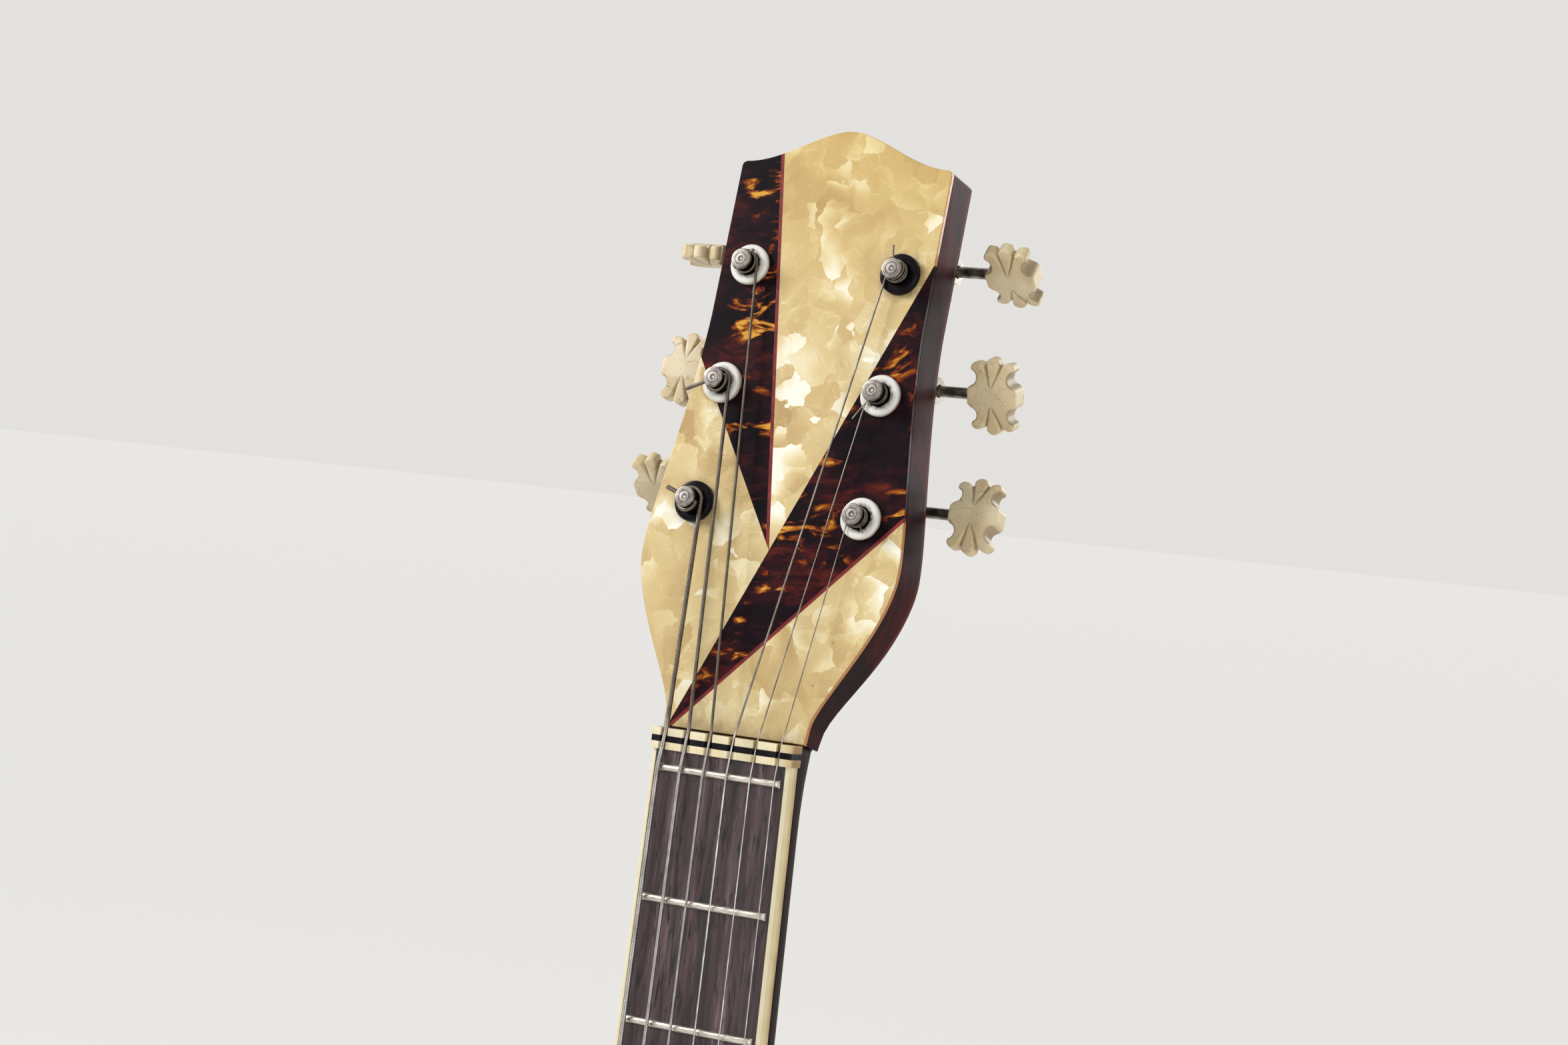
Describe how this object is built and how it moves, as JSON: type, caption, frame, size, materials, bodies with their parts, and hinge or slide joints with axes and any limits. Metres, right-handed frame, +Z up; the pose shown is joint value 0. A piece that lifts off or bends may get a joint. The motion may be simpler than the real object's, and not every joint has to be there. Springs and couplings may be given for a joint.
{
  "type": "archtop jazz guitar",
  "caption": "Archtop jazz guitar with f-holes, cutaway body, panelled headstock, worm-geared tuners, adjustable bridge and trapeze tailpiece.",
  "frame": {"origin": "centre of the strap pin's end face, the lowest point of the guitar", "axes": "+Z up the guitar from tail to headstock, -Y out of the front, +X to the treble side"},
  "size_m": [0.425, 0.1364, 1.0476],
  "materials": {
    "spruce": "amber nitrocellulose lacquer over carved spruce",
    "maple": "amber nitrocellulose lacquer over flamed maple",
    "plain_maple": "bare maple inside the body",
    "plain_spruce": "bare spruce inside the body",
    "stained_maple": "dark stained and lacquered maple",
    "rosewood": "oiled, open-pored rosewood",
    "cream_celluloid": "aged cream celluloid",
    "ivory_celluloid": "aged, finely crazed ivory celluloid",
    "pearl_celluloid": "yellowed pearloid under lacquer",
    "tortoise_celluloid": "dark mottled tortoise celluloid under lacquer",
    "red_celluloid": "dark red celluloid line",
    "white_plastic": "worn white plastic",
    "black_plastic": "glossy black plastic",
    "nickel_plate": "slightly dulled nickel plate",
    "steel_wire": "plain and wound steel"
  },
  "bodies": {
    "root": {"neck": "stained_maple", "heel_cap": "black_plastic", "fingerboard": "rosewood", "fingerboard_binding": "cream_celluloid", "nut": "cream_celluloid", "zero_fret": "nickel_plate", "headstock_edge_band": "tortoise_celluloid", "panel_pearl_centre": "pearl_celluloid", "panel_pearl_bass": "pearl_celluloid", "panel_pearl_treble": "pearl_celluloid", "panel_tortoise_upper": "tortoise_celluloid", "panel_tortoise_diagonal": "tortoise_celluloid", "line_red_upper": "red_celluloid", "line_red_lower": "red_celluloid", "tuner_plate_bass": "nickel_plate", "tuner_plate_treble": "nickel_plate", "ferrule_1": "white_plastic", "ferrule_2": "white_plastic", "ferrule_3": "black_plastic", "ferrule_4": "white_plastic", "ferrule_5": "white_plastic", "ferrule_6": "black_plastic", "string_1": "steel_wire", "string_2": "steel_wire", "string_3": "steel_wire", "string_4": "steel_wire", "string_5": "steel_wire", "string_6": "steel_wire", "top_plate": "spruce", "back_plate": "maple", "ribs": "maple", "neck_block": "plain_maple", "tail_block": "plain_maple", "tone_bar_bass": "plain_spruce", "tone_bar_treble": "plain_spruce", "bridge_base": "rosewood", "tailpiece": "nickel_plate", "strap_pin": "black_plastic", "pickguard": "tortoise_celluloid"},
    "key_1": {"worm_shaft_1": "steel_wire", "tuner_button_1": "ivory_celluloid"},
    "key_2": {"worm_shaft_2": "steel_wire", "tuner_button_2": "ivory_celluloid"},
    "key_3": {"worm_shaft_3": "steel_wire", "tuner_button_3": "ivory_celluloid"},
    "key_4": {"worm_shaft_4": "steel_wire", "tuner_button_4": "ivory_celluloid"},
    "key_5": {"worm_shaft_5": "steel_wire", "tuner_button_5": "ivory_celluloid"},
    "key_6": {"worm_shaft_6": "steel_wire", "tuner_button_6": "ivory_celluloid"},
    "post_1": {"tuner_post_1": "nickel_plate"},
    "post_2": {"tuner_post_2": "nickel_plate"},
    "post_3": {"tuner_post_3": "nickel_plate"},
    "post_4": {"tuner_post_4": "nickel_plate"},
    "post_5": {"tuner_post_5": "nickel_plate"},
    "post_6": {"tuner_post_6": "nickel_plate"},
    "saddle": {"bridge_saddle": "rosewood"},
    "wheel_bass": {"thumbwheel_bass": "nickel_plate"},
    "wheel_treble": {"thumbwheel_treble": "nickel_plate"}
  },
  "joints": [
    {"name": "key_1_turn", "type": "hinge", "parent": "root", "child": "key_1", "pos_m": [0.0263, 0.00736, 0.9423], "axis": [1, 0, 0], "continuous": true},
    {"name": "key_2_turn", "type": "hinge", "parent": "root", "child": "key_2", "pos_m": [0.02505, 0.01509, 0.97644], "axis": [1, 0, 0], "continuous": true},
    {"name": "key_3_turn", "type": "hinge", "parent": "root", "child": "key_3", "pos_m": [0.0238, 0.02281, 1.01058], "axis": [1, 0, 0], "continuous": true},
    {"name": "key_4_turn", "type": "hinge", "parent": "root", "child": "key_4", "pos_m": [-0.0238, 0.02281, 1.01058], "axis": [1, 0, 0], "continuous": true},
    {"name": "key_5_turn", "type": "hinge", "parent": "root", "child": "key_5", "pos_m": [-0.02505, 0.01509, 0.97644], "axis": [1, 0, 0], "continuous": true},
    {"name": "key_6_turn", "type": "hinge", "parent": "root", "child": "key_6", "pos_m": [-0.0263, 0.00736, 0.9423], "axis": [1, 0, 0], "continuous": true},
    {"name": "post_1_turn", "type": "hinge", "parent": "root", "child": "post_1", "pos_m": [0.0263, -0.01469, 0.93909], "axis": [0, -0.9753, 0.2207], "continuous": true, "deforming": ["string_1"]},
    {"name": "post_2_turn", "type": "hinge", "parent": "root", "child": "post_2", "pos_m": [0.02505, -0.00696, 0.97323], "axis": [0, -0.9753, 0.2207], "continuous": true, "deforming": ["string_2"]},
    {"name": "post_3_turn", "type": "hinge", "parent": "root", "child": "post_3", "pos_m": [0.0238, 0.00076, 1.00737], "axis": [0, -0.9753, 0.2207], "continuous": true, "deforming": ["string_3"]},
    {"name": "post_4_turn", "type": "hinge", "parent": "root", "child": "post_4", "pos_m": [-0.0238, 0.00076, 1.00737], "axis": [0, -0.9753, 0.2207], "continuous": true, "deforming": ["string_4"]},
    {"name": "post_5_turn", "type": "hinge", "parent": "root", "child": "post_5", "pos_m": [-0.02505, -0.00696, 0.97323], "axis": [0, -0.9753, 0.2207], "continuous": true, "deforming": ["string_5"]},
    {"name": "post_6_turn", "type": "hinge", "parent": "root", "child": "post_6", "pos_m": [-0.0263, -0.01469, 0.93909], "axis": [0, -0.9753, 0.2207], "continuous": true, "deforming": ["string_6"]},
    {"name": "saddle_lift", "type": "slide", "parent": "root", "child": "saddle", "axis": [0, -1, 0], "range_m": [-0.00195, 0.00195], "deforming": ["string_1", "string_2", "string_3", "string_4", "string_5", "string_6"]},
    {"name": "wheel_bass_turn", "type": "hinge", "parent": "saddle", "child": "wheel_bass", "pos_m": [-0.037, -0.0668, 0.22744], "axis": [0, -1, 0], "range_deg": [-1000, 1000]},
    {"name": "wheel_treble_turn", "type": "hinge", "parent": "saddle", "child": "wheel_treble", "pos_m": [0.037, -0.0668, 0.22744], "axis": [0, -1, 0], "range_deg": [-1000, 1000]}
  ],
  "couplings": [
    {"joint": "post_1_turn", "follows": "key_1_turn", "ratio": 0.071429},
    {"joint": "post_2_turn", "follows": "key_2_turn", "ratio": 0.071429},
    {"joint": "post_3_turn", "follows": "key_3_turn", "ratio": 0.071429},
    {"joint": "post_4_turn", "follows": "key_4_turn", "ratio": 0.071429},
    {"joint": "post_5_turn", "follows": "key_5_turn", "ratio": 0.071429},
    {"joint": "post_6_turn", "follows": "key_6_turn", "ratio": 0.071429},
    {"joint": "saddle_lift", "follows": "wheel_bass_turn", "m_per_rad": 0.00011141},
    {"joint": "wheel_treble_turn", "follows": "wheel_bass_turn", "ratio": 1}
  ]
}
